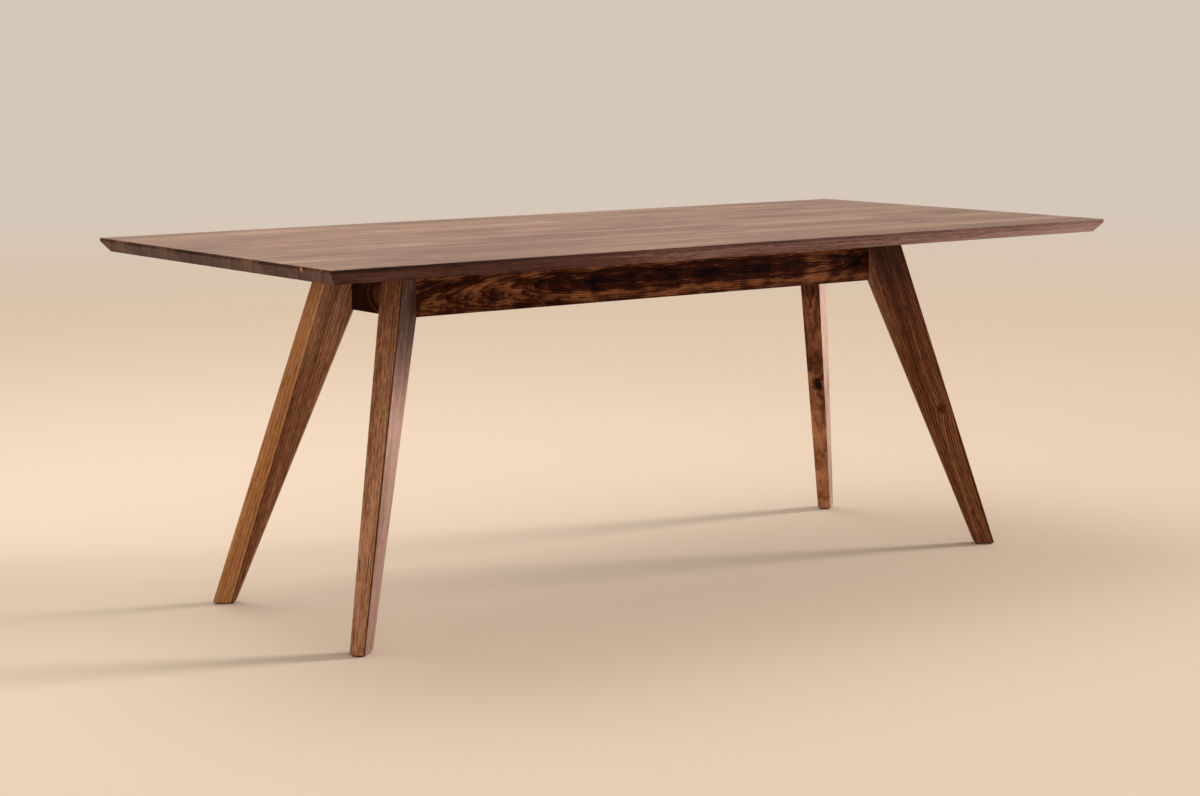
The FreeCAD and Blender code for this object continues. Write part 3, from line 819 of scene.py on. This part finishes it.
def set_out(pattern, shape, material):
    """Stands a copy on each place, looking its way and turned at random about its axis."""
    spin_seed = 5
    look = pattern.add("InputNamedAttribute", "direction", data_type="FLOAT_VECTOR")
    way = pattern.add("FunctionNodeAlignRotationToVector", None, 1.0, look, axis="Z")
    spin = pattern.add("FunctionNodeRandomValue", 0.0, 2 * math.pi, None, spin_seed, out=1)
    spin = pattern.add("FunctionNodeAxisAngleToRotation", (0.0, 0.0, 1.0), spin)
    turn = pattern.add("FunctionNodeRotateRotation", way, spin, rotation_space="LOCAL")
    places = pattern.size("Places")
    copies = pattern.add("InstanceOnPoints", places, None, shape, None, None, turn)
    pattern.ends_as(copies, material)


screw_sizes = {
    "Head Radius": 0.0046,
    "Crown": 0.0026,
    "Countersink": 0.0,
    "Shank Radius": 0.00225,
    "Thread Depth": 0.0005,
    "Pitch": 0.0018,
    "Length": 0.020,
    "Point": 0.005,
    "Recess Reach": 0.0024,
    "Recess Width": 0.00055,
    "Recess Depth": 0.0014,
}
head_rows = 8
screw_sides = 32


def screw_pattern(name, material, thread_rows):
    """Screw from its cross recess to its point; the thread is a wave that climbs as it turns."""
    screw = Pattern(name, screw_sizes)

    def outline(row, turn):
        """Rows of the head come first, then those of the thread, and the last closes the point."""
        head, crown, sink, shank = screw.size("Head Radius", "Crown", "Countersink", "Shank Radius")
        depth, pitch, length, point = screw.size("Thread Depth", "Pitch", "Length", "Point")
        reach, width, recess = screw.size("Recess Reach", "Recess Width", "Recess Depth")
        cosine = screw.math("ABSOLUTE", screw.math("COSINE", turn)) + 1e-4
        sine = screw.math("ABSOLUTE", screw.math("SINE", turn)) + 1e-4
        arm = screw.math("MINIMUM", reach / cosine, width / sine)
        other_arm = screw.math("MINIMUM", width / cosine, reach / sine)
        cross = screw.math("MAXIMUM", arm, other_arm)  # The cross recess, as a radius at each turn
        bottom = recess - crown
        head_levels = (bottom, bottom, 0 - crown, crown * -0.92, crown * -0.5, crown * -0.12, 0.0, sink)
        head_radii = (0.0, cross * 0.55, cross, head * 0.72, head * 0.94, head, head, shank)
        step = (row - head_rows) / thread_rows
        level = sink + step * (length - sink)
        wave = screw.math("ABSOLUTE", screw.math("FRACT", level / pitch - turn / (2 * math.pi)) * 2 - 1)
        radius = screw.math("MINIMUM", shank - wave * depth, (length - level) * (shank / point) + depth)
        radius = radius * screw.math("LESS_THAN", row, head_rows + thread_rows - 0.5)
        turn_row = screw.math("MINIMUM", row, head_rows)
        return screw.pick(turn_row, head_levels + (level,)), screw.pick(turn_row, head_radii + (radius,))

    set_out(screw, turned(screw, screw_sides, head_rows + thread_rows + 1, outline), material)
    return screw


def fastener_points(node, way_of, start_of):
    """Place and way of each screw, bolt, washer or nut in a group of like pieces."""
    boxes = separate_boxes(node)
    ways = [way_of(low, high) for low, high in boxes]
    starts = [start_of(low, high, way) for (low, high), way in zip(boxes, ways)]
    return points_mesh(node, starts, ways)


def straight_up(low, high):
    return Vector((0, 0, 1))


def outwards(low, high):
    """A level screw looks away from the table's middle, along its own length."""
    middle = (low + high) / 2
    if high.x - low.x > high.y - low.y:
        return Vector((math.copysign(1, middle.x), 0, 0))
    return Vector((0, math.copysign(1, middle.y), 0))


def head_end(low, high, way):
    """Middle of the end that the screw's head is at."""
    middle = (low + high) / 2
    half = (high - low) / 2
    return middle - Vector([size * part for size, part in zip(half, way)])


def head_seat(low, high, way):
    """Middle of the face that a pan head is seated on, one crown in from the head's end."""
    return head_end(low, high, way) + way * screw_sizes["Crown"]


zinc = zinc_plate()
screws = screw_pattern("threaded_screw", zinc, thread_rows=44)
points = fastener_points("stiffener_screws", straight_up, head_seat)
screws.make("stiffener_screws_turned", points, "root", "zinc_steel", ["stiffener_screws"])
flat_head = {
    "Head Radius": 0.0044,
    "Crown": 0.0,
    "Countersink": 0.0024,
    "Length": 0.030,
    "Recess Depth": 0.0018,
}
for node, way in (("corner_block_screws", outwards), ("button_screws", straight_up)):
    points = fastener_points(node, way, head_end)
    screws.make(node + "_turned", points, "root", "zinc_steel", [node], **flat_head)

bolt_sizes = {
    "Head Radius": 0.003,
    "Countersink": 0.001,
    "Crown": 0.0,
    "Shank Radius": 0.004,
    "Thread Depth": 0.0006,
    "Pitch": 0.00125,
    "Recess Reach": 0.0,
    "Recess Width": 0.0,
    "Recess Depth": 0.0,
    "Point": 0.004,
}
rod_radius = 0.0035


def diagonal(low, high):
    """A bolt, washer or nut looks outwards along its leg's diagonal."""
    middle = (low + high) / 2
    out = math.copysign(math.cos(plan_angle), middle.x)
    over = math.copysign(math.sin(plan_angle), middle.y)
    return Vector((out, over, 0))


def half_back(length):
    """Finds the start of a piece of this length, half of it back from the middle."""
    return lambda low, high, way: (low + high) / 2 - way * length / 2


def along_diagonal(extent, radius):
    """Length of a level rod along the diagonal, from its box and its radius."""
    return (extent.x - 2 * radius * math.sin(plan_angle)) / math.cos(plan_angle)


rod_low, rod_high = separate_boxes("hanger_bolts")[0]
rod_length = along_diagonal(rod_high - rod_low, rod_radius)
points = fastener_points("hanger_bolts", diagonal, half_back(rod_length))
bolts = screw_pattern("hanger_bolt", zinc, thread_rows=150)
bolts.make("hanger_bolts_turned", points, "root", "zinc_steel", ["hanger_bolts"],
           Length=rod_length, **bolt_sizes)

ring_sides = 48
washer_rows = 7
washer_sizes = {
    "Bore": 0.0044,
    "Radius": 0.011,
    "Thickness": 0.002,
    "Edge": 0.0003,
}
washer = Pattern("flat_washer", washer_sizes)


def washer_outline(row, turn):
    """Flat ring, round at every turn, with a small edge on its rim."""
    bore, rim, thickness, edge = washer.size("Bore", "Radius", "Thickness", "Edge")
    levels = (0.0, 0.0, edge, thickness - edge, thickness, thickness, 0.0)
    radii = (bore, rim - edge, rim, rim, rim - edge, bore, bore)
    return washer.pick(row, levels), washer.pick(row, radii)


set_out(washer, turned(washer, ring_sides, washer_rows, washer_outline), zinc)
points = fastener_points("bolt_washers", diagonal, half_back(washer_sizes["Thickness"]))
washer.make("bolt_washers_turned", points, "root", "zinc_steel", ["bolt_washers"])

nut_rows = 9
nut_sizes = {
    "Bore": 0.0041,
    "Across Flats": 0.013,
    "Thickness": 0.0065,
    "Chamfer": 0.0009,
    "Lead": 0.0005,
}
nut = Pattern("hexagon_nut", nut_sizes)


def nut_outline(row, turn):
    """Chamfered hexagon outside, bore with a small lead at both ends inside."""
    bore, flats, thickness, chamfer, lead = nut.size("Bore", "Across Flats", "Thickness", "Chamfer", "Lead")
    sixth = nut.math("MODULO", turn + math.pi / 6, math.pi / 3) - math.pi / 6
    hexagon = flats / 2 / nut.math("COSINE", sixth)
    face = flats * 0.485
    levels = (0.0, 0.0, chamfer, thickness - chamfer, thickness, thickness, thickness - lead, lead, 0.0)
    radii = (bore + lead, face, hexagon, hexagon, face, bore + lead, bore, bore, bore + lead)
    return nut.pick(row, levels), nut.pick(row, radii)


set_out(nut, turned(nut, ring_sides, nut_rows, nut_outline), zinc)
points = fastener_points("bolt_nuts", diagonal, half_back(nut_sizes["Thickness"]))
nut.make("bolt_nuts_turned", points, "root", "zinc_steel", ["bolt_nuts"])


# Foot pads
# Thin dark felt pads, cut to the feet just inside their chamfers and glued on, so that
# the legs don't mark the floor.
felt = Finish("dark_felt")
hair = felt.noise(felt.place, 2200.0, 3.0, rough=0.7)
felt.gives("Base Color", felt.ramp(hair, ((0.35, display(14, 13, 13)), (0.7, display(38, 36, 35)))))
felt.gives("Roughness", 0.95)
felt.shader.inputs["Sheen Weight"].default_value = 0.3
felt.bump(hair, 0.6, 0.0004)
for name in corners:
    cover("foot_pad_" + name, felt.material)


# Studio
# A plain pale floor that fades into an even backdrop, three wide suns and a lamp overhead,
# and a camera that stands where the photograph's did.
floor_size = 60.0
fade_start = 4.5
fade_end = 12.0
floor_colour = display(214, 200, 185)
bpy.ops.mesh.primitive_plane_add(size=floor_size, location=(0, 0, 0))
floor = bpy.context.object
floor.name = "floor"
paint = Finish("pale_floor")
paint.shader.inputs["Base Color"].default_value = floor_colour
paint.shader.inputs["Roughness"].default_value = 0.9
paint.shader.inputs["Specular IOR Level"].default_value = 0.05
distance = paint.add("VectorMath", paint.place, operation="LENGTH", out="Value")
fade = paint.span(distance, fade_start, fade_end, 0.0, 1.0, smooth=True)
below = paint.add("NewGeometry", out="Backfacing")
clear = paint.add("BsdfTransparent")
hidden = paint.math("MAXIMUM", fade, below)
lit = Amount(paint, paint.shader.outputs["BSDF"])
shown = paint.add("MixShader", hidden, lit, clear)
paint.tree.links.new(shown.socket, paint.tree.nodes["Material Output"].inputs["Surface"])
floor.data.materials.append(paint.material)

world = bpy.data.worlds.new("studio")
world.use_nodes = True
backdrop = world.node_tree.nodes["Background"]
backdrop.inputs["Color"].default_value = floor_colour
backdrop.inputs["Strength"].default_value = 1.0
bpy.context.scene.world = world


def lamp(name, kind, place, target, power, colour):
    """Light of one kind that looks from its place to a target."""
    light = bpy.data.lights.new(name, kind)
    light.energy = power
    light.color = colour
    holder = bpy.data.objects.new(name, light)
    bpy.context.scene.collection.objects.link(holder)
    holder.location = place
    holder.rotation_euler = (Vector(target) - Vector(place)).to_track_quat("-Z", "Y").to_euler()
    return light


# Each sun's name, place, power, colour and angle in degrees.
suns = (
    ("right_key", (9.55, -3.0, 2.9), 3.4, (1.0, 0.93, 0.86), 14),
    ("low_right", (4.5, -1.8, 0.3), 1.25, (1.0, 0.93, 0.93), 20),
    ("front_fill", (-4.4, -5.8, 0.8), 0.92, (1.0, 0.95, 0.90), 24),
)
for name, place, power, colour, angle in suns:
    sun = lamp(name, "SUN", place, (0, 0, 0), power, colour)
    sun.angle = math.radians(angle)
overhead = lamp("overhead", "AREA", (-0.5, 1.5, 3.6), (0.0, 0.0, 0.7), 60.0, (1.0, 0.97, 0.94))
overhead.size = 3.0

photo_width = 1200
photo_focal = 2379.2
camera_place = Vector((-3.1113, -4.0243, 1.1334))
yaw = math.radians(37.097)
pitch = math.radians(-8.400)
roll = math.radians(-0.111)
ahead = Vector((math.sin(yaw) * math.cos(pitch), math.cos(yaw) * math.cos(pitch), math.sin(pitch)))
level = Vector((math.cos(yaw), -math.sin(yaw), 0))
over = level.cross(ahead)
across = level * math.cos(roll) + over * math.sin(roll)
upright = over * math.cos(roll) - level * math.sin(roll)
lens = bpy.data.cameras.new("camera")
lens.sensor_width = 36.0
lens.lens = photo_focal / photo_width * lens.sensor_width
camera = bpy.data.objects.new("camera", lens)
bpy.context.scene.collection.objects.link(camera)
camera_turn = Matrix((across, upright, -ahead)).transposed().to_4x4()
camera.matrix_world = Matrix.Translation(camera_place) @ camera_turn
bpy.context.scene.camera = camera
bpy.context.scene.view_settings.view_transform = "Standard"
